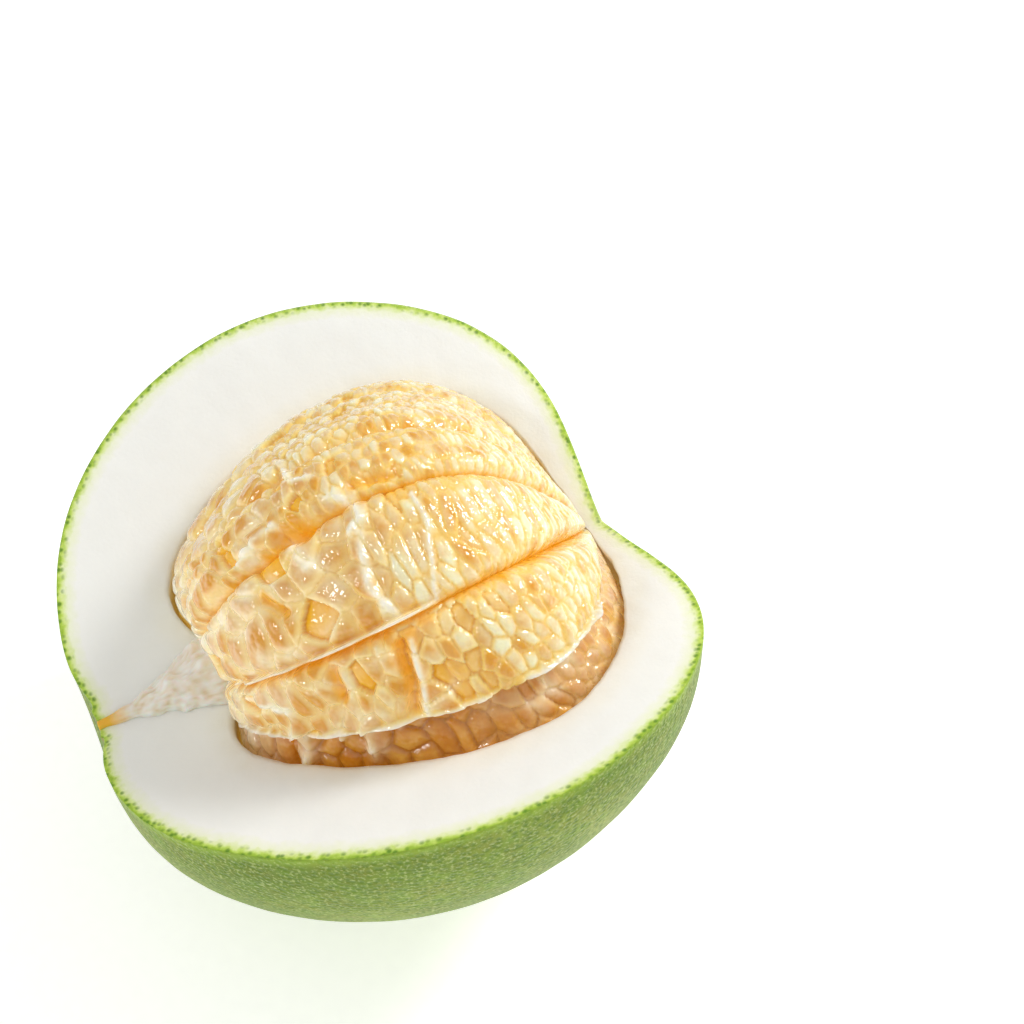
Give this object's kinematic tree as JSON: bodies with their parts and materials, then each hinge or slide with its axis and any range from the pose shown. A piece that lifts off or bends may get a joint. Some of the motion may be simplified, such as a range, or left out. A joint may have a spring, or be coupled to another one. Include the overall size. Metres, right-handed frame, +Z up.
{
  "type": "pomelo",
  "caption": "Pomelo lying on its side with a wedge of thick peel cut away, its ball of juicy segments left whole.",
  "frame": {"origin": "on the ground, under the centre of the whole fruit's box; the fruit rests on a small flat spot of its rind at z = 0", "axes": "+Z up; +X to the right and +Y away from the viewer; the core runs from the stem end at the left front to the blossom end at the right back, rising about 8 degrees"},
  "size_m": [0.1524, 0.1558, 0.1297],
  "materials": {
    "peel": "satin",
    "flesh": "gloss"
  },
  "bodies": {
    "root": {"peel": "peel", "segment_01": "flesh", "segment_02": "flesh", "segment_03": "flesh", "segment_04": "flesh", "segment_05": "flesh", "segment_06": "flesh", "segment_07": "flesh", "segment_08": "flesh", "segment_09": "flesh", "segment_10": "flesh", "segment_11": "flesh", "segment_12": "flesh"}
  },
  "joints": []
}
